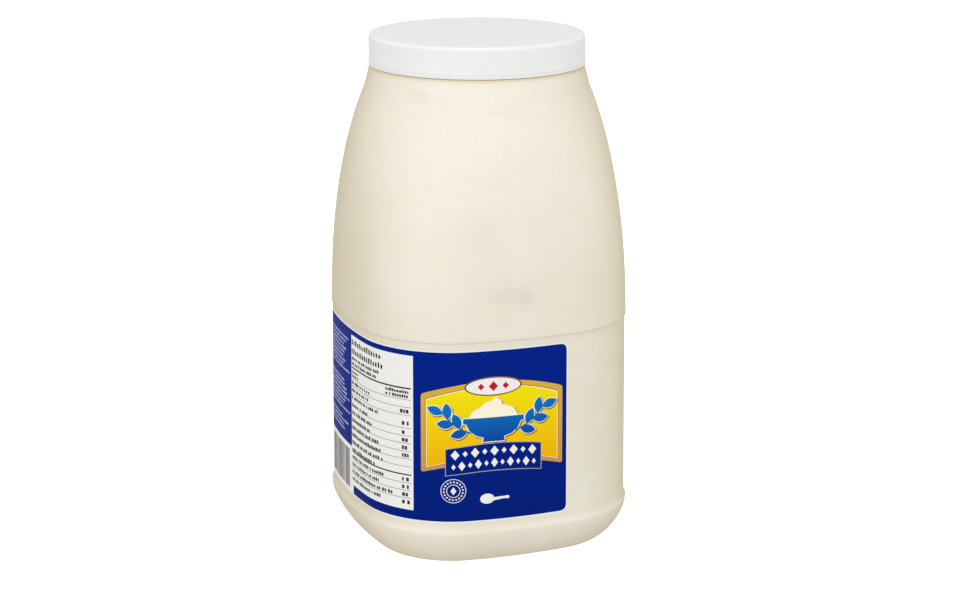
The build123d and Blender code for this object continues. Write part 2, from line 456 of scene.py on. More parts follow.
@dataclass(frozen=True)
class MouldedJar:
    """Natural high-density polyethylene, blow-moulded, with mayonnaise against the inside of the wall.

    The contents are almost white and light sinks into them. The resin over them is a thin, milky layer, so
    the jar looks cream, and a little warmer where its coat is seen at a slant. The mould leaves a satin skin
    with broad, blurred reflections and faint upright flow streaks.
    """

    look: Mottle = Mottle("#F6F5F0", "#EFECE3", 38.0, 1.6, 0.012)
    resin: str = "#F5F1E8"
    shadow: str = "#C4C4CF"  # grey of the blotches
    blotches: tuple[Blotch, ...] = (
        Blotch((-6.5, -72.0, 141.0), (16.0, 8.0, 5.5), 0.17),
        Blotch((-1.0, -72.0, 137.5), (6.0, 8.0, 6.0), 0.13),
        Blotch((-44.0, -38.0, 237.0), (11.0, 11.0, 4.5), 0.16),
        Blotch((-12.0, -62.0, 231.5), (16.0, 8.0, 2.6), 0.1),
        Blotch((-25.0, -68.0, 172.0), (14.0, 10.0, 16.0), 0.05),
    )
    blotch_ripple: float = 9.0  # mm, spacing of the dents in the blotches' outlines
    blotch_dents: float = 1.2  # how deep they are
    cloud_share: float = 1.4
    streak_share: float = 0.35
    streak_width: float = 5.0  # mm
    streak_stretch: float = 40.0  # length of a streak over its width
    painted_top_light: float = 0.42  # painted light and shade: towards the light colour with each 100 mm of height, so the jar is lighter high up and darker low down
    painted_light_start: float = 130.0  # mm, height from which the colour gets lighter
    painted_light_even: float = 167.0  # mm, height where the two colours are mixed evenly
    glow: str = "#E9D7B4"  # painted warm shade on the neck band just under the lid
    under_lid_shade_top: float = 246.5  # mm
    under_lid_shade_reach: float = 3.0  # mm
    scatter: float = 2.5  # mm that light travels under the skin

    def build(self) -> bpy.types.Material:
        """Builds the material."""
        surface = Surface("natural_hdpe_over_mayonnaise")
        place = surface.add("ShaderNodeTexCoord").outputs["Object"]
        clouds = {"Vector": place, "Scale": per(self.look.grain), "Detail": 3.0}
        narrow = per(self.streak_width)
        stretch = {"Vector": place, "Scale": (narrow, narrow, narrow / self.streak_stretch)}
        upright = surface.add("ShaderNodeMapping", inputs=stretch).outputs[0]
        streaks = {"Vector": upright, "Scale": 1.0, "Detail": 2.0}
        pits = {"Vector": place, "Scale": per(self.look.pit), "Detail": 1.0}
        surface.let(
            cloud=surface.add("ShaderNodeTexNoise", inputs=clouds).outputs[0],
            streak=surface.add("ShaderNodeTexNoise", inputs=streaks).outputs[0],
            pits=surface.add("ShaderNodeTexNoise", inputs=pits).outputs[0],
            height=surface.add("ShaderNodeSeparateXYZ", inputs={0: place}).outputs["Z"],
            cloud_share=self.cloud_share,
            streak_share=self.streak_share,
            start=self.painted_light_start * MM,
            even=self.painted_light_even * MM,
            rise=self.painted_top_light / (100 * MM),
            top=self.under_lid_shade_top * MM,
            reach=self.under_lid_shade_reach * MM,
            mottle="(cloud - 0.5) * cloud_share + (streak - 0.5) * streak_share",
        )
        # Painted light and shade by height: the colour is lighter towards the top and darker below the
        # middle.
        shade = surface.calc("mottle + (max(height, start) - even) * rise + 0.5")
        mix = {"Factor": shade, 6: linear(self.look.dark), 7: linear(self.look.light)}
        colour = surface.add("ShaderNodeMix", COLOURS, mix).outputs[2]
        mix = {"Factor": self.patches(surface, place), 6: colour, 7: linear(self.shadow)}
        colour = surface.add("ShaderNodeMix", COLOURS, mix).outputs[2]
        # Painted warm shade on the neck band, strongest at the lid's lower edge.
        under_lid_shade = surface.calc("max(0, 1 - (top - height) / reach) ** 2")
        mix = {"Factor": under_lid_shade, 6: colour, 7: linear(self.glow)}
        bump = {"Height": surface.calc("pits + streak"), "Distance": self.look.pit_depth * MM}
        return surface.dress({
            "Base Color": surface.add("ShaderNodeMix", COLOURS, mix).outputs[2],
            "Normal": surface.add("ShaderNodeBump", inputs=bump).outputs[0],
            "Roughness": surface.calc("0.36 + (cloud - 0.5) * 0.12"),
            "IOR": 1.54,
            "Subsurface Weight": 0.35,
            "Subsurface Radius": (1.0, 0.75, 0.45),
            "Subsurface Scale": self.scatter * MM,
            "Coat Weight": 1.0,
            "Coat IOR": 1.06,
            "Coat Roughness": 0.4,
            "Coat Tint": linear(self.resin),
        })

    def patches(self, surface: Surface, place: bpy.types.NodeSocket) -> Value:
        """Adds the strength of the blotches, whose outlines are uneven.

        Args:
            surface: the material that they are part of.
            place: the socket that holds the place on the piece.

        Returns:
            The socket that holds their strength at that place.
        """
        ripples = {"Vector": place, "Scale": per(self.blotch_ripple), "Detail": 1.0}
        ripple = surface.add("ShaderNodeTexNoise", inputs=ripples).outputs[0]
        surface.let(ripple=ripple, dents=self.blotch_dents, uneven="1 + (ripple - 0.5) * dents", total=0.0)
        for blotch in self.blotches:
            spot = {"Vector": place, "Location": Vector(blotch.place) * MM, "Scale": Vector(blotch.size) * MM}
            near = surface.add("ShaderNodeMapping", {"vector_type": "TEXTURE"}, spot).outputs[0]
            away = surface.add("ShaderNodeVectorMath", {"operation": "LENGTH"}, {0: near}).outputs["Value"]
            surface.let(away=away, strength=blotch.strength)
            surface.let(total="total + strength * max(0, 1 - away * away * uneven)")
        return surface.known["total"]


@dataclass(frozen=True)
class MouldedCap:
    """White polypropylene, injection-moulded: cool white, satin, with an almost flat skin."""

    look: Mottle = Mottle("#EAEAE9", "#E6E6E5", 20.0, 0.9, 0.004)
    scatter: float = 1.5  # mm that light travels under the skin

    def build(self) -> bpy.types.Material:
        """Builds the material."""
        surface = Surface("white_polypropylene")
        place = surface.add("ShaderNodeTexCoord").outputs["Object"]
        clouds = {"Vector": place, "Scale": per(self.look.grain), "Detail": 2.0}
        pits = {"Vector": place, "Scale": per(self.look.pit), "Detail": 1.0}
        surface.let(cloud=surface.add("ShaderNodeTexNoise", inputs=clouds).outputs[0])
        mix = {"Factor": surface.known["cloud"], 6: linear(self.look.dark), 7: linear(self.look.light)}
        pitted = surface.add("ShaderNodeTexNoise", inputs=pits).outputs[0]
        bump = {"Height": pitted, "Distance": self.look.pit_depth * MM}
        return surface.dress({
            "Base Color": surface.add("ShaderNodeMix", COLOURS, mix).outputs[2],
            "Normal": surface.add("ShaderNodeBump", inputs=bump).outputs[0],
            "Roughness": surface.calc("0.34 + (cloud - 0.5) * 0.1"),
            "IOR": 1.49,
            "Subsurface Weight": 0.15,
            "Subsurface Radius": (1.0, 1.0, 1.0),
            "Subsurface Scale": self.scatter * MM,
        })


@dataclass(frozen=True)
class Ink:
    """Ink printed on polypropylene film under a matt varnish: one colour, or two that blend upwards.

    The varnish keeps reflections so weak that the colours stay deep, and the film under it is never flat.
    """

    name: str
    top: str
    bottom: str | None = None
    low: float = 0.0  # mm, height where the bottom colour ends
    high: float = 1.0  # mm, height where the top colour starts
    cloud: float = 16.667  # mm, size of the soft patches where the blend and the gloss vary
    wrinkle: float = 14.0  # mm, spacing of the film's soft ripples
    wrinkle_depth: float = 0.02  # mm

    def build(self) -> bpy.types.Material:
        """Builds the material, or finds it if it was built before."""
        if self.name in bpy.data.materials:
            return bpy.data.materials[self.name]
        surface = Surface(self.name)
        place = surface.add("ShaderNodeTexCoord").outputs["Object"]
        clouds = {"Vector": place, "Scale": per(self.cloud), "Detail": 2.0}
        ripples = {"Vector": place, "Scale": per(self.wrinkle), "Detail": 2.0}
        surface.let(
            cloud=surface.add("ShaderNodeTexNoise", inputs=clouds).outputs[0],
            height=surface.add("ShaderNodeSeparateXYZ", inputs={0: place}).outputs["Z"],
            low=self.low * MM,
            high=self.high * MM,
        )
        share = surface.calc("(height - low) / (high - low) + (cloud - 0.5) * 0.1")
        mix = {"Factor": share, 6: linear(self.bottom or self.top), 7: linear(self.top)}
        ripple = surface.add("ShaderNodeTexNoise", inputs=ripples).outputs[0]
        bump = {"Height": ripple, "Distance": self.wrinkle_depth * MM}
        return surface.dress({
            "Base Color": surface.add("ShaderNodeMix", COLOURS, mix).outputs[2],
            "Normal": surface.add("ShaderNodeBump", inputs=bump).outputs[0],
            "Roughness": surface.calc("0.42 + (cloud - 0.5) * 0.1"),
            "IOR": 1.08,
        })


# ---------------------------------------------------------------- pieces


def level_rows(name: str, rows: list[Level]) -> bpy.types.Object:
    """Makes the mesh of outlines that LoftTree starts from.

    Args:
        name: name of the piece.
        rows: half width, bow radius and height of each outline, in millimetres.

    Returns:
        The object, in the scene.
    """
    mesh = bpy.data.meshes.new(name)
    mesh.from_pydata([tuple(size * MM for size in row) for row in rows], [], [])
    return put(name, mesh)


def put(name: str, data: bpy.types.ID) -> bpy.types.Object:
    """Puts a mesh, a light or a camera into the scene as an object of that name."""
    piece = bpy.data.objects.new(name, data)
    bpy.context.collection.objects.link(piece)
    return piece


def crisp(piece: bpy.types.Object, degrees: float) -> None:
    """Shades a piece smooth, but for the edges that turn by more than this many degrees."""
    piece.data.shade_smooth()
    piece.data.set_sharp_from_angle(angle=math.radians(degrees))


def register(piece: bpy.types.Object, slot: str, *nodes: str) -> None:
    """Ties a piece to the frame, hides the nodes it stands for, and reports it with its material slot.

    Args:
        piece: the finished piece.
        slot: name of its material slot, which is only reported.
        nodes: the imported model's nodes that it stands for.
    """
    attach(piece, BODY)
    if nodes:
        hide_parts(*nodes)
    log.info("%s: %d faces, slot %s", piece.name, len(piece.data.polygons), slot)


def steps(count: int) -> list[float]:
    """Shares 0 to 1 in that many equal steps, without the first."""
    return [(i + 1) / count for i in range(count)]


def arc(centre: Point, radius: float, start: float, end: float, count: int) -> list[Point]:
    """Points along an arc.

    Args:
        centre: its centre.
        radius: its radius.
        start: angle of its first point, in degrees.
        end: angle of its last point, in degrees.
        count: number of points.

    Returns:
        The points, both ends among them.
    """
    angles = [math.radians(start + (end - start) * i / (count - 1)) for i in range(count)]
    return [(centre[0] + radius * math.cos(a), centre[1] + radius * math.sin(a)) for a in angles]


@dataclass(frozen=True)
class Panel:
    """The recessed panel that carries the label, as the jar and the label share it."""

    bow_radius: float = 218.0  # of its bowed sides, at its upper edge
    bow_angle: float = math.radians(7.5)  # from a side's middle to where its corner arc starts
    bottom: float = 23.6
    height: float = 94.3
    flare: float = 0.8  # by which its foot stands out past its upper edge

    @property
    def top(self) -> float:
        """Height of its upper edge."""
        return self.bottom + self.height


@dataclass
class Jar:
    """The blow-moulded jar with its contents: heel, bumper, panel, ledge, shoulder, neck band and finish.

    The bumper is the widest line, at the heel's crest, and an inset is measured inwards from it.
    """

    loft: LoftTree
    finish: MouldedJar = field(default_factory=MouldedJar)
    panel: Panel = Panel()
    bumper_depth: float = 1.05  # from the bumper to the panel's foot
    bumper_fall_power: float = 2.6
    ledge_depth: float = 0.6  # by which the shoulder's foot stands out past the panel
    ledge_height: float = 0.7
    heel_height: float = 18.8
    heel_depth: float = 12.9
    heel_crest_power: float = 1.75
    heel_foot_power: float = 1.3
    heel_foot_angle: float = 14.0  # degrees, where the heel meets the standing ring
    shoulder_height: float = 117.5
    neck_band_height: float = 10.4
    shoulder_power: float = 3.35
    shoulder_waist: float = 0.62
    waist_power: float = 0.7
    rounding_power: float = 2.55
    neck_band_flare: float = 2.65
    lid_overhang: float = 0.45
    neck_rounding: float = 0.3
    finish_inset: float = 2.75  # from the lid's outside to the neck finish
    finish_chamfer: float = 1.2
    standing_ring_width: float = 9.0
    push_up_depth: float = 2.4
    push_up_slope_width: float = 4.0
    segments: int = 320
    bumper_half: float = field(init=False)
    lid_radius: float = field(init=False)
    rim_top: float = field(init=False)

    def __post_init__(self) -> None:
        """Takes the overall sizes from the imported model."""
        low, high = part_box("jar")
        lid_low, lid_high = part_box("lid")
        self.bumper_half = (high.x - low.x) / 2 / MM
        self.rim_top = high.z / MM
        self.lid_radius = (lid_high.x - lid_low.x) / 2 / MM

    def parallel(self, inset: float, height: float) -> Level:
        """The outline that lies this far inside the bumper's widest line, at a height."""
        bow = self.panel.bow_radius + self.panel.flare + self.bumper_depth
        return self.bumper_half - inset, bow - inset, height

    def base(self) -> list[Level]:
        """Outlines of the underside, from its middle out: push-up, slope and standing ring."""
        foot = self.heel(self.heel_foot_angle)[0]
        inner = foot + self.standing_ring_width
        half, bow, _ = self.parallel(inner + self.push_up_slope_width, 0)
        rows = [(half * share, bow * share, self.push_up_depth) for share in (0, 0.25, 0.5, 0.75, 0.97, 1)]
        for share in steps(4):
            eased = (1 - math.cos(math.pi * share)) / 2
            inset = inner + self.push_up_slope_width * (1 - share)
            rows.append(self.parallel(inset, self.push_up_depth * (1 - eased)))
        return rows + [self.parallel(foot + self.standing_ring_width * share, 0) for share in (0.5, 0.02)]

    def heel(self, angle: float) -> tuple[float, float]:
        """Inset and height at an angle along the heel, in degrees: a superellipse, rounder at its crest."""
        upper, lower = 2 / self.heel_crest_power, 2 / self.heel_foot_power
        foot = 1 - math.cos(math.radians(self.heel_foot_angle)) ** upper
        rise = 1 - math.cos(math.radians(angle)) ** upper
        inset = self.heel_depth * (1 - math.sin(math.radians(angle)) ** lower)
        return inset, self.heel_height * (rise - foot) / (1 - foot)

    def lower(self) -> list[Level]:
        """Outlines of the heel, the bumper's fall and the label panel."""
        span = 90 - self.heel_foot_angle
        rows = [self.parallel(*self.heel(self.heel_foot_angle + span * share)) for share in [0.0, *steps(28)]]
        fall = self.panel.bottom - self.heel_height
        for share in steps(12):
            inset = self.bumper_depth * (1 - (1 - share) ** self.bumper_fall_power)
            rows.append(self.parallel(inset, self.heel_height + fall * share))
        for share in steps(24):
            inset = self.bumper_depth + self.panel.flare * share
            rows.append(self.parallel(inset, self.panel.bottom + self.panel.height * share))
        return rows

    def shoulder(self) -> list[Level]:
        """Outlines of the ledge and the shoulder."""
        rows = []
        for share in steps(6):
            eased = (1 - math.cos(math.pi * share)) / 2
            inset = self.bumper_depth + self.panel.flare - self.ledge_depth * eased
            rows.append(self.parallel(inset, self.panel.top + self.ledge_height * share))
        foot_half, foot_bow, foot_height = rows[-1]
        neck = self.lid_radius - self.lid_overhang + self.neck_band_flare
        for share in steps(64):
            waist = self.shoulder_waist * max(math.sin(math.pi * share), 0.0) ** self.waist_power
            half = foot_half - (foot_half - neck) * share**self.shoulder_power - waist
            curvature = 1 / foot_bow + (1 / neck - 1 / foot_bow) * share**self.rounding_power
            rows.append((half, max(1 / curvature, half), foot_height + self.shoulder_height * share))
        return rows

    def neck(self) -> list[Level]:
        """Outlines of the neck band and of the neck finish under the lid, up to its closed top."""
        foot, _, height = self.shoulder()[-1]
        band_top = height + self.neck_band_height
        top = self.lid_radius - self.lid_overhang
        flare, tall, edge = self.neck_band_flare, self.neck_band_height, self.neck_rounding
        rows = [(foot - flare * share, height + tall * share) for share in steps(8)]
        rows[-1:] = arc((top - edge, band_top - edge), edge, 8, 90, 7)
        finish = self.lid_radius - self.finish_inset
        rows += [(finish, band_top), (finish, self.rim_top - self.finish_chamfer)]
        rows += [(finish - self.finish_chamfer, self.rim_top), (finish / 2, self.rim_top), (0, self.rim_top)]
        return [(radius, radius, level) for radius, level in rows]

    def build(self) -> None:
        """Lofts the skin and ties it to the frame."""
        piece = level_rows("jar_skin", self.base() + self.lower() + self.shoulder() + self.neck())
        plan = {"segments": self.segments, "bow_angle": self.panel.bow_angle}
        self.loft.apply(piece, **plan, material=self.finish.build())
        crisp(piece, 40)
        register(piece, "jar_plastic", "jar")


@dataclass
class Lid:
    """The screw lid: a flat cap with a rounded top edge, a smooth skirt and a bead along its lower edge."""

    loft: LoftTree
    finish: MouldedCap = field(default_factory=MouldedCap)
    top_thickness: float = 1.9
    skirt_thickness: float = 2.25
    rim_radius: float = 2.0
    bead_height: float = 2.3
    bead_depth: float = 0.12
    edge_radius: float = 0.35
    segments: int = 320

    def build(self) -> None:
        """Lofts the lid from its profile, through circles without a bow, and ties it to the frame."""
        low, high = (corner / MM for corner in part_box("lid"))
        radius = (high.x - low.x) / 2
        inner = radius - self.skirt_thickness
        skirt = radius - self.bead_depth
        ceiling = high.z - self.top_thickness
        edge = self.edge_radius
        profile = [(0.0, ceiling), (inner * 0.5, ceiling), (inner, ceiling), (inner, low.z + edge)]
        profile += arc((inner + edge, low.z + edge), edge, 180, 270, 4)
        profile += arc((radius - edge, low.z + edge), edge, -90, 0, 5)
        bead_top = low.z + self.bead_height
        profile += [(radius, low.z + self.bead_height * 0.5)]
        profile += arc((radius - self.bead_depth, bead_top - self.bead_depth), self.bead_depth, 0, 90, 5)
        profile += arc((skirt + edge, bead_top + edge), edge, 270, 180, 5)
        rim = self.rim_radius
        profile += [(skirt, bead_top + (high.z - rim - bead_top) * share) for share in (0.3, 0.6, 0.9)]
        profile += arc((skirt - rim, high.z - rim), rim, 0, 90, 12)
        profile += [((skirt - rim) * share, high.z) for share in (0.97, 0.8, 0.5, 0.25, 0.0)]
        piece = level_rows("lid_cap", [(r, r, level) for r, level in profile])
        self.loft.apply(piece, segments=self.segments, bow_angle=0.0, material=self.finish.build())
        crisp(piece, 50)
        register(piece, "lid_plastic", "lid")


@dataclass(frozen=True)
class Inks:
    """The label's film and its inks."""

    film: Ink = Ink("white_polypropylene_film", "#EBE9E5")
    blue: Ink = Ink("blue_ink", "#022184", "#031E76", 24.0, 114.0)
    bright_blue: Ink = Ink("bright_blue_ink", "#0E6FB9", "#0D4296", 66.0, 84.0)
    gold: Ink = Ink("gold_ink", "#D5AB38", "#C09449", 50.0, 98.0)
    brown: Ink = Ink("brown_ink", "#8A5A22")
    yellow: Ink = Ink("yellow_ink", "#EDDE10", "#EAAE08", 54.0, 94.0)
    pale_blue: Ink = Ink("pale_blue_ink", "#B3BBDC")
    cream: Ink = Ink("cream_ink", "#F7EFD6")
    white: Ink = Ink("white_ink", "#EBE9E6")
    red: Ink = Ink("red_ink", "#BE1A34")
    grey: Ink = Ink("silver_ink", "#A8A49A")
    bar_grey: Ink = Ink("bar_code_ink", "#4E4D4D")
    black: Ink = Ink("black_ink", "#34312F")


def box(left: float, bottom: float, right: float, top: float) -> Outline:
    """Outline of an upright rectangle."""
    return [(left, bottom), (right, bottom), (right, top), (left, top)]


def ellipse(centre: Point, half_width: float, half_height: float, count: int = 56) -> Outline:
    """Outline of an ellipse; a count of 4 makes a diamond."""
    turns = [TAU * i / count for i in range(count)]
    return [(centre[0] + half_width * math.cos(a), centre[1] + half_height * math.sin(a)) for a in turns]


def banner(place: Box, low_rise: float, high_rise: float) -> Outline:
    """Outline of a band whose lower and upper edges arch up.

    Args:
        place: its left end, its lower corners' height, its right end, and its upper corners' height.
        low_rise: how far the lower edge's middle stands above its corners.
        high_rise: how far the upper edge's middle stands above its corners.

    Returns:
        The outline.
    """
    left, low, right, high = place
    shares = [i / 24 for i in range(25)]
    below = [(left + (right - left) * t, low + low_rise * 4 * t * (1 - t)) for t in shares]
    above = [(left + (right - left) * t, high + high_rise * 4 * t * (1 - t)) for t in shares]
    return below + above[::-1]


def mirrored(outline: Outline, x: float) -> Outline:
    """The same outline to the other side of an upright line, still anticlockwise."""
    return [(2 * x - px, py) for px, py in outline[::-1]]


def corners(outline: Outline) -> list[tuple[Vector, Vector, Vector]]:
    """Each point of an outline, with the one before and the one after it."""
    points = [Vector(point) for point in outline]
    return list(zip(points, points[-1:] + points[:-1], points[1:] + points[:1]))


def soften(outline: Outline, radius: float) -> Outline:
    """Rounds the corners of an outline that turn by more than 25 degrees.

    Args:
        outline: the outline.
        radius: how far before and after each corner the rounding reaches.

    Returns:
        The rounded outline.
    """
    rounded: Outline = []
    for corner, before, after in corners(outline):
        start, end = before - corner, after - corner
        if math.pi - start.angle(end) < math.radians(25):
            rounded.append(tuple(corner))
            continue
        start, end = start.normalized() * radius, end.normalized() * radius
        for t in (0, 0.17, 0.34, 0.5, 0.66, 0.83, 1):
            rounded.append(tuple(corner + start * (1 - t) ** 2 + end * t**2))
    return rounded


def swell(outline: Outline, distance: float) -> Outline:
    """Moves an outline, which runs anticlockwise, outwards by a distance."""
    moved: Outline = []
    for corner, before, after in corners(outline):
        came, goes = (corner - before).normalized(), (after - corner).normalized()
        out = Vector((came.y + goes.y, -came.x - goes.x))
        moved.append(tuple(corner + out * distance * 2 / max(out.length_squared, 1.0)))
    return moved


@dataclass(frozen=True)
class Rows:
    """Rows of small upright blocks that stand for printed words, or for the bars of a bar code."""

    left: float
    top: float  # lower edge of the first row's blocks
    length: float
    height: float
    rows: int = 1
    pitch: float = 0.0
    ragged: float = 0.0  # largest share by which a row falls short
    narrow: float = 0.45  # narrowest block, as a share of the height
    wide: float = 0.85
    low: float = 0.66  # lowest block, as a share of the height
    gap: float = 0.2
    word_gap: float = 0.5
    word_chance: float = 0.2
    seed: int = 1


@dataclass(frozen=True)
class Sprig:
    """Leaves along an arc, to its two sides in turn."""

    centre: Point
    radius: float
    start: float  # degrees
    step: float  # degrees
    count: int
    tilt: float  # degrees by which the leaves turn away from the arc
    length: float
    width: float
    shrink: float = 0.0


@dataclass
class Label:
    """The wrap label: a white film round the left face and two thirds of the front and back, and its inks.

    The inks lie in thin layers on the film. Lengths along the panel start at the middle of the front face.
    """

    wrap: WrapTree
    stamped: RowsTree
    sprouted: ArcTree
    inks: Inks = field(default_factory=Inks)
    panel: Panel = Panel()
    end: float = 23.1  # how far it reaches past the front's middle, and past the back's
    bottom: float = 24.3
    top: float = 114.5
    corner: float = 4.4
    margin: float = 0.8
    thickness: float = 0.2
    film_share: float = 0.4  # of the thickness; the layers of ink share the rest
    layers: int = 9
    bend_pitch: float = 1.5  # between the places where every layer bends
    plaque: Box = (-54.1, 50.9, 19.9, 92.0)
    plaque_rise: float = 6.3
    plaque_low_share: float = 0.86  # rise of its lower edge, as a share of its upper edge's
    plaque_corner: float = 1.6
    frame_width: float = 2.6
    frame_line: float = 0.3
    yellow_inset: float = 0.35
    ribbon_place: Box = (-41.9, 49.2, 8.3, 63.6)
    ribbon_rises: tuple[float, float] = (1.8, 2.2)  # of its lower and its upper edge
    ribbon_edge: float = 0.4
    white_edge: float = 0.45  # round the bowl and the leaves
    shadow_edge: float = 0.2
    shadow_shift: float = 0.4
    sprig_side: float = 4.0  # from the bowl's middle to the centre of a sprig's arc
    sprig_level: float = 96.5
    sprig_radius: float = 26.0
    stem_half: float = 0.35
    half_width: float = field(init=False)
    sheets: dict[tuple[Ink, int], list[bpy.types.Object]] = field(default_factory=dict, init=False)

    def __post_init__(self) -> None:
        """Takes the width of the panel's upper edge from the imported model."""
        low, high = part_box("label")
        reach = self.panel.flare * (self.panel.top - self.bottom) / self.panel.height
        self.half_width = (high.y - low.y) / 2 / MM - self.thickness - reach

    @property
    def quarter(self) -> float:
        """Arc length from one side's middle to the next one's."""
        bow, angle = self.panel.bow_radius, self.panel.bow_angle
        corner = bow - (bow - self.half_width) / (math.cos(angle) - math.sin(angle))
        return 2 * angle * bow + (math.pi / 2 - 2 * angle) * corner

    @property
    def middle(self) -> float:
        """Where the middle of the front's artwork lies."""
        return (self.plaque[0] + self.plaque[2]) / 2

    @property
    def faces(self) -> tuple[float, float]:
        """How far the front's and the back's artwork are shifted round the panel."""
        return 0.0, -2 * self.quarter - 2 * self.middle

    def flat(self, *outlines: Outline) -> bpy.types.Object:
        """Makes flat print from closed outlines."""
        sheet = bmesh.new()
        for outline in outlines:
            face = sheet.faces.new([sheet.verts.new((x * MM, y * MM, 0.0)) for x, y in outline])
            face.normal_update()
            if face.normal.z < 0:
                face.normal_flip()
        mesh = bpy.data.meshes.new("print")
        sheet.to_mesh(mesh)
        sheet.free()
        return put("print", mesh)

    def both(self, *outlines: Outline) -> bpy.types.Object:
        """Makes flat print on the front and the same on the back."""
        pairs = [(outline, shift) for outline in outlines for shift in self.faces]
        return self.flat(*[[(x + shift, y) for x, y in outline] for outline, shift in pairs])

    def stamp(self, outline: Outline) -> bpy.types.Object:
        """Makes a flat stamp one unit long, which the trees copy and scale."""
        mesh = bpy.data.meshes.new("stamp")
        mesh.from_pydata([(x, y, 0.0) for x, y in outline], [], [list(range(len(outline)))])
        return put("stamp", mesh)

    def lay(self, *groups: Rows) -> list[bpy.types.Object]:
        """Lays rows of blocks, one flat object for each group."""
        made = []
        for group in groups:
            piece = self.stamp(box(0, 0, 1, 1))
            high = group.height * MM
            names = ("narrow", "wide", "low", "gap", "word_gap")
            shares = {name: getattr(group, name) * high for name in names}
            self.stamped.apply(
                piece,
                rows=group.rows,
                stamps=int(group.length / (group.height * (group.narrow + group.gap))) + 1,
                seed=group.seed,
                left=group.left * MM,
                top=group.top * MM,
                row_length=group.length * MM,
                row_pitch=group.pitch * MM,
                ragged=group.ragged,
                high=high,
                word_chance=group.word_chance,
                **shares,
            )
            made.append(piece)
        return made

    def grow(self, *sprigs: Sprig, edge: float = 0.0) -> list[bpy.types.Object]:
        """Lays leaves along arcs, on the front and the back.

        Args:
            sprigs: what to lay.
            edge: how far each leaf is widened all round.

        Returns:
            One flat object for each sprig and face.
        """
        leaf = [(t / 12, -2 * t / 12 * (1 - t / 12)) for t in range(13)]
        leaf += [(x, -y) for x, y in leaf[-2:0:-1]]
        made = []
        for sprig in sprigs:
            back = edge / (sprig.length + 2 * edge)
            for shift in self.faces:
                piece = self.stamp([(x - back, y) for x, y in leaf])
                self.sprouted.apply(
                    piece,
                    count=sprig.count,
                    centre_x=(sprig.centre[0] + shift) * MM,
                    centre_y=sprig.centre[1] * MM,
                    radius=sprig.radius * MM,
                    start=math.radians(sprig.start),
                    step=math.radians(sprig.step),
                    tilt=math.radians(sprig.tilt),
                    length=(sprig.length + 2 * edge) * MM,
                    width=(sprig.width + 2 * edge) * MM,
                    shrink=sprig.shrink,
                )
                made.append(piece)
        return made

    def add(self, ink: Ink, layer: int, *parts: bpy.types.Object) -> None:
        """Keeps flat shapes of one ink for one layer above the film."""
        self.sheets.setdefault((ink, layer), []).extend(parts)

    def paint(self, ink: Ink, layer: int, *outlines: Outline) -> None:
        """Keeps outlines of one ink for one layer, on the front and the same on the back."""
        self.add(ink, layer, self.both(*outlines))

    def ground(self) -> None:
        """The white film, and the blue that covers it up to a narrow margin."""
        left, right, m = -2 * self.quarter - self.end, self.end, self.margin
        self.add(self.inks.film, 0, self.flat(soften(box(left, self.bottom, right, self.top), self.corner)))
        inside = box(left + m, self.bottom + m, right - m, self.top - m)
        self.add(self.inks.blue, 1, self.flat(soften(inside, self.corner - m)))

    def plaques(self) -> None:
        """The gold-framed yellow plaque."""
        left, low, right, high = self.plaque
        insets = {
            self.inks.gold: 0.0,
            self.inks.brown: self.frame_width - self.frame_line,
            self.inks.cream: self.frame_width,
            self.inks.yellow: self.frame_width + self.yellow_inset,
        }
        for layer, (ink, inset) in enumerate(insets.items(), 2):
            place = (left + inset, low + inset, right - inset, high - inset)
            plate = banner(place, self.plaque_rise * self.plaque_low_share, self.plaque_rise)
            self.paint(ink, layer, soften(plate, max(self.plaque_corner - inset * 0.5, 0.2)))

    def sprigs(self, shift: float = 0.0) -> list[Sprig]:
        """The two sprigs beside the bowl, shifted to the right and down for their shadow."""
        x, low, radius = self.middle + shift, self.sprig_level - shift, self.sprig_radius
        return [
            Sprig((x + self.sprig_side, low), radius, 292, 8.6, 5, -36, 8.6, 4.6),
            Sprig((x - self.sprig_side, low), radius, 248, -8.6, 5, 36, 8.6, 4.6),
        ]

    def bowl(self) -> None:
        """A bowl with a spoonful of cream between two sprigs, with a thin white edge and a brown shadow."""
        x, edge, shift = self.middle, self.white_edge, self.shadow_shift
        rim = [(14.2, 76.4), (15.8, 76.4), (15.8, 79.2)]
        right = [(x + px, py) for px, py in [(5.8, 66.6), (5.2, 68.8), (9.4, 70.2), (12.6, 72.8), *rim]]
        heap = [(12.6, 79.2), (10.2, 83.0), (6.6, 84.6), (4.0, 85.4), (3.8, 87.2), (1.4, 89.4)]
        heap += [(-0.8, 87.6), (-4.6, 86.6), (-6.8, 84.2), (-10.4, 82.8), (-12.6, 79.2)]
        cream = [(x + px, py) for px, py in heap]
        left = mirrored(right, x)
        whole = swell(soften(right + cream + left, 0.5), edge)
        shadow = [(px + shift, py - shift) for px, py in swell(whole, self.shadow_edge)]
        centre, radius, half = (x + self.sprig_side, self.sprig_level), self.sprig_radius, self.stem_half
        stem = arc(centre, radius + half, 287, 327, 16) + arc(centre, radius - half, 327, 287, 16)
        inks = self.inks
        shades = self.grow(*self.sprigs(shift), edge=edge + self.shadow_edge)
        self.add(inks.brown, 6, self.both(shadow), *shades)
        self.add(inks.white, 7, self.both(whole), *self.grow(*self.sprigs(), edge=edge))
        self.paint(inks.cream, 8, soften([*cream, (x - 11.0, 78.0), (x + 11.0, 78.0)], 0.9))
        self.paint(inks.bright_blue, 8, stem, mirrored(stem, x))
        self.add(inks.bright_blue, 9, self.both(soften(right + left, 0.5)), *self.grow(*self.sprigs()))

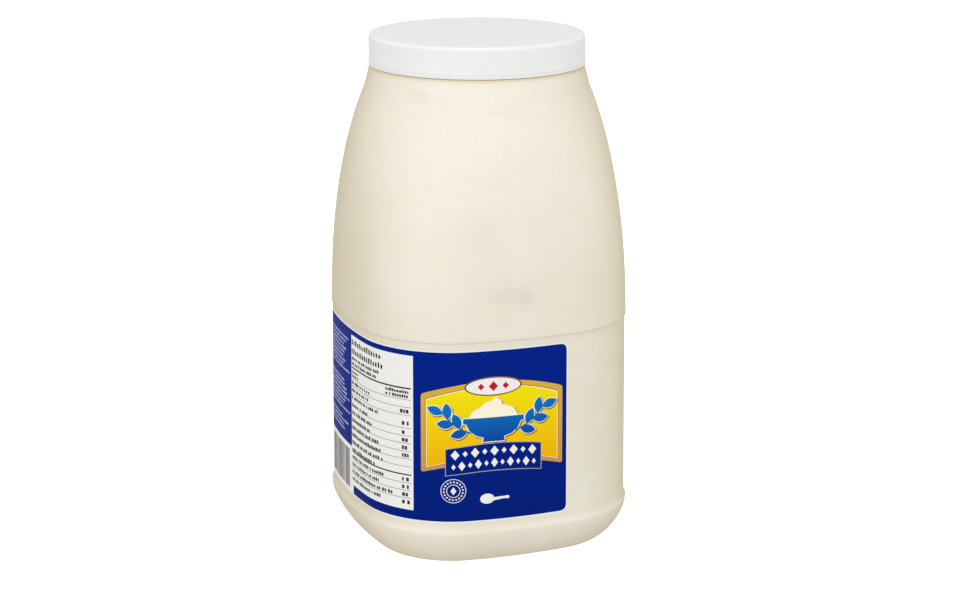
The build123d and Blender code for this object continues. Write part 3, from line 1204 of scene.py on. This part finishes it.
    def ribbon(self) -> None:
        """The dark ribbon across the plaque's lower edge, with two rows of ornaments."""
        left, low, right, high = self.ribbon_place
        edge = self.ribbon_edge
        inner = (left + edge, low + edge, right - edge, high - edge)
        self.paint(self.inks.grey, 6, banner(self.ribbon_place, *self.ribbon_rises))
        self.paint(self.inks.blue, 7, banner(inner, *self.ribbon_rises))
        marks = []
        for row, (count, level, wide, tall) in enumerate([(9, 59.6, 2.2, 2.6), (11, 53.4, 1.8, 2.5)]):
            for i in range(count):
                t = (i + 1) / (count + 1)
                spot = (left + (right - left) * t, level + 2.0 * 4 * t * (1 - t))
                size = (wide, tall) if i % 2 == row else (wide * 0.6, tall * 0.6)
                marks.append(ellipse(spot, *size, count=4))
        self.paint(self.inks.white, 8, *marks)

    def cartouche(self) -> None:
        """The small white oval with three red gems on the plaque's upper edge."""
        x, y = self.middle - 0.2, 95.4
        self.paint(self.inks.brown, 6, ellipse((x, y), 14.9, 5.0))
        self.paint(self.inks.white, 7, ellipse((x, y), 14.0, 4.3))
        gems = [(-6.4, 1.7, 1.8), (0.0, 2.4, 2.6), (6.4, 1.7, 1.8)]
        self.paint(self.inks.red, 8, *[ellipse((x + side, y), wide, tall, 4) for side, wide, tall in gems])

    def seal(self) -> None:
        """The small round ornament at the lower left, and the spoon beside it."""
        spot = (-37.8, 41.4)
        for layer, radius in enumerate((6.4, 6.05, 3.5, 3.15), 2):
            ink = self.inks.blue if layer % 2 else self.inks.white
            self.paint(ink, layer, ellipse(spot, radius, radius))
        self.add(self.inks.white, 4, *self.grow(Sprig(spot, 4.75, 0, 20, 18, 0, 1.1, 0.9)))
        self.paint(self.inks.white, 6, ellipse(spot, 1.5, 2.1, 4))
        bowl = [(-20.6 + 3.7 * math.cos(a / 16), 36.4 + 2.7 * math.sin(a / 16)) for a in range(3, 98, 5)]
        handle = [(-12.0, 35.9), (-9.6, 35.6), (-8.8, 36.4), (-9.6, 37.3), (-12.0, 37.1)]
        self.paint(self.inks.white, 2, bowl + handle)

    def facts(self) -> None:
        """The white table of facts with its rules, and the bar code beside it."""
        left, right, pitch = -110.9, -59.4, 4.05
        ground = [(-160.0, 25.1), (-109.6, 25.1), (-109.6, 29.9), (-58.2, 29.9)]
        ground += [(-58.2, 111.0), (-111.7, 111.0), (-111.7, 50.6), (-160.0, 50.6)]
        self.add(self.inks.white, 2, self.flat(ground))
        levels = [87.7, 83.7, 79.6]
        levels += [72.8 - pitch * i for i in range(6)]
        levels += [43.9 - pitch * i for i in range(3)]
        rules = [box(left, level, right, level + 0.22) for level in levels]
        rules += [box(left, 93.4, right, 94.2), box(left, 48.0, right, 48.7)]
        self.add(self.inks.black, 3, self.flat(*rules))
        heading = {"narrow": 0.34, "wide": 0.5, "gap": 0.3, "low": 0.55, "word_chance": 0.1}
        share = {"word_chance": 0.5, "low": 0.9, "height": 2.0}
        words = [
            Rows(left, 106.1, 34.0, 3.2, rows=2, pitch=4.9, seed=3, **heading),
            Rows(left, 98.0, 34.0, 1.8, rows=2, pitch=2.9, ragged=0.3, seed=5),
            Rows(left, 90.9, 9.0, 1.4, rows=2, pitch=2.2, seed=6),
            Rows(-75.0, 91.0, 15.4, 1.7, rows=2, pitch=2.3, seed=8),
            Rows(left, 84.9, 42.0, 1.9, rows=14, pitch=4.02, ragged=0.52, seed=11),
            Rows(-65.6, 80.7, 5.6, seed=12, **share),
            Rows(-64.6, 74.4, 4.6, seed=13, **share),
            Rows(-64.6, 69.7, 4.6, rows=4, pitch=pitch, seed=14, **share),
            Rows(-64.6, 44.9, 4.6, rows=4, pitch=pitch, seed=15, **share),
        ]
        self.add(self.inks.black, 3, *self.lay(*words))
        thin = {"narrow": 0.02, "wide": 0.09, "low": 1.0, "gap": 0.026, "word_gap": 0.03}
        self.add(self.inks.bar_grey, 3, *self.lay(Rows(-150.0, 27.0, 35.0, 21.0, seed=4, **thin)))

    def small_print(self) -> None:
        """The pale small print on the blue of the left face."""
        blocks = [(106.4, 9, 0.18), (82.4, 8, 0.18), (62.4, 4, 0.25)]
        words = [
            Rows(-183.0, top, 69.0, 1.25, rows=rows, pitch=2.2, ragged=ragged, seed=seed)
            for seed, (top, rows, ragged) in enumerate(blocks, 21)
        ]
        self.add(self.inks.pale_blue, 2, *self.lay(*words))

    def finish(self, ink: Ink, layer: int, parts: list[bpy.types.Object]) -> None:
        """Joins flat shapes of one ink and layer, wraps them round the panel and ties them to the frame.

        Args:
            ink: what they are printed in.
            layer: their layer above the film, which is layer 0.
            parts: the flat shapes.
        """
        name = f"label_{ink.name}_{layer}" if layer else "label_film"
        piece = put(name, self.joined(name, parts))
        film = self.thickness * self.film_share
        step = (self.thickness - film) / self.layers
        self.wrap.apply(
            piece,
            thickness=(step if layer else film) * MM,
            lift=(film + step * (layer - 1) if layer else 0.0) * MM,
            half_width=self.half_width * MM,
            bow_radius=self.panel.bow_radius * MM,
            bow_angle=self.panel.bow_angle,
            flare=self.panel.flare * MM,
            flare_bottom=self.panel.bottom * MM,
            flare_top=self.panel.top * MM,
            material=ink.build(),
        )
        crisp(piece, 30)
        register(piece, "label_film", *([] if layer else ["label"]))

    def joined(self, name: str, parts: list[bpy.types.Object]) -> bpy.types.Mesh:
        """Joins flat shapes, cut across at an even pitch so that every layer bends at the same places.

        Args:
            name: the mesh's name.
            parts: the flat shapes, which are removed.

        Returns:
            The flat mesh, in triangles.
        """
        sheet = bmesh.new()
        for part in parts:
            sheet.from_mesh(part.data)
            bpy.data.objects.remove(part)
        pitch = self.bend_pitch * MM
        places = [vertex.co.x for vertex in sheet.verts]
        for cut in range(math.floor(min(places) / pitch), math.ceil(max(places) / pitch) + 1):
            near = [face for face in sheet.faces if self.crosses(face, cut * pitch)]
            around = {item for face in near for item in (*face.verts, *face.edges)}
            spot = {"plane_co": (cut * pitch, 0.0, 0.0), "plane_no": (1.0, 0.0, 0.0)}
            bmesh.ops.bisect_plane(sheet, geom=[*near, *around], dist=1e-7, **spot)
        bmesh.ops.triangulate(sheet, faces=sheet.faces[:])
        mesh = bpy.data.meshes.new(name)
        sheet.to_mesh(mesh)
        sheet.free()
        return mesh

    def crosses(self, face: bmesh.types.BMFace, place: float) -> bool:
        """Whether a flat face reaches over both sides of a place along the panel."""
        places = [vertex.co.x for vertex in face.verts]
        return min(places) < place < max(places)

    def build(self) -> None:
        """Prints the label and wraps it."""
        self.ground()
        self.plaques()
        self.bowl()
        self.ribbon()
        self.cartouche()
        self.seal()
        self.facts()
        self.small_print()
        for (ink, layer), parts in self.sheets.items():
            self.finish(ink, layer, parts)


# ---------------------------------------------------------------- studio


@dataclass(frozen=True)
class SoftBox:
    """A square soft light that looks at the jar."""

    name: str
    azimuth: float  # degrees round the jar from the front, positive towards its right
    power: float  # watts
    elevation: float = 12.0  # degrees above the table
    distance: float = 1.6  # metres from the jar's middle
    size: float = 1.1  # metres


@dataclass
class Studio:
    """A white table, soft lights and the camera."""

    azimuth: float = -20.07  # degrees
    elevation: float = 14.81  # degrees
    distance: float = 1234.7
    aim_height: float = 120.5
    aim_side: float = 4.14
    lens: float = 86.96
    light_aim: float = 130.0  # height that the lights look at
    lights: tuple[SoftBox, ...] = (
        SoftBox("left_side", -75.0, 3.56),
        SoftBox("key", -45.0, 3.10),
        SoftBox("front_left", -20.0, 1.80),
        SoftBox("front_right", 5.0, 1.48),
        SoftBox("fill", 35.0, 2.22),
        SoftBox("right_side", 70.0, 1.93),
        SoftBox("overhead", 0.0, 6.65, elevation=88.0),
    )
    room: tuple[float, float, float] = (0.71, 0.71, 0.71)  # light from the white room all around
    table_size: float = 12.0  # metres
    table_white: str = "#F4F4F4"
    table_glow: float = 0.6

    def direction(self, azimuth: float, elevation: float) -> Vector:
        """Unit vector from the jar towards an azimuth and an elevation, in degrees."""
        around, up = math.radians(azimuth), math.radians(elevation)
        return Vector((math.sin(around) * math.cos(up), -math.cos(around) * math.cos(up), math.sin(up)))

    def camera(self) -> None:
        """Puts the camera in front of the jar, a little to its left and above it."""
        data = bpy.data.cameras.new("camera")
        data.lens = self.lens
        camera = put("camera", data)
        back = self.direction(self.azimuth, self.elevation)
        aim = self.direction(self.azimuth + 90, 0) * self.aim_side * MM + Vector((0, 0, self.aim_height * MM))
        camera.location = aim + back * self.distance * MM
        camera.rotation_euler = (-back).to_track_quat("-Z", "Y").to_euler()
        bpy.context.scene.camera = camera

    def light(self, soft: SoftBox) -> None:
        """Hangs one soft box."""
        data = bpy.data.lights.new(soft.name, "AREA")
        data.shape = "SQUARE"
        data.size = soft.size
        data.energy = soft.power
        lamp = put(soft.name, data)
        out = self.direction(soft.azimuth, soft.elevation)
        lamp.location = Vector((0, 0, self.light_aim * MM)) + out * soft.distance
        lamp.rotation_euler = (-out).to_track_quat("-Z", "Y").to_euler()

    def table(self) -> None:
        """Lays the white table."""
        half = self.table_size / 2
        mesh = bpy.data.meshes.new("table")
        mesh.from_pydata([(x, y, 0) for x, y in box(-half, -half, half, half)], [], [(0, 1, 2, 3)])
        piece = put("table", mesh)
        glow = {"Emission Color": (1.0, 1.0, 1.0, 1.0), "Emission Strength": self.table_glow}
        white = {"Base Color": linear(self.table_white), "Roughness": 0.9}
        mesh.materials.append(Surface("white_table").dress(white | glow))
        piece.visible_diffuse = False
        piece.visible_glossy = False

    def build(self) -> None:
        """Sets the table, the lights and the camera."""
        self.table()
        for soft in self.lights:
            self.light(soft)
        self.camera()
        world = bpy.data.worlds.new("studio")
        world.use_nodes = True
        world.node_tree.nodes["Background"].inputs["Color"].default_value = (*self.room, 1.0)
        bpy.context.scene.world = world
        bpy.context.scene.view_settings.view_transform = "Standard"


def main() -> None:
    """Builds the jar, the lid, the label and the studio."""
    logging.basicConfig(level=logging.INFO, format="%(name)s: %(message)s")
    loft = LoftTree()
    Jar(loft).build()
    Lid(loft).build()
    Label(WrapTree(), RowsTree(), ArcTree()).build()
    Studio().build()


if __name__ == "__main__":
    main()
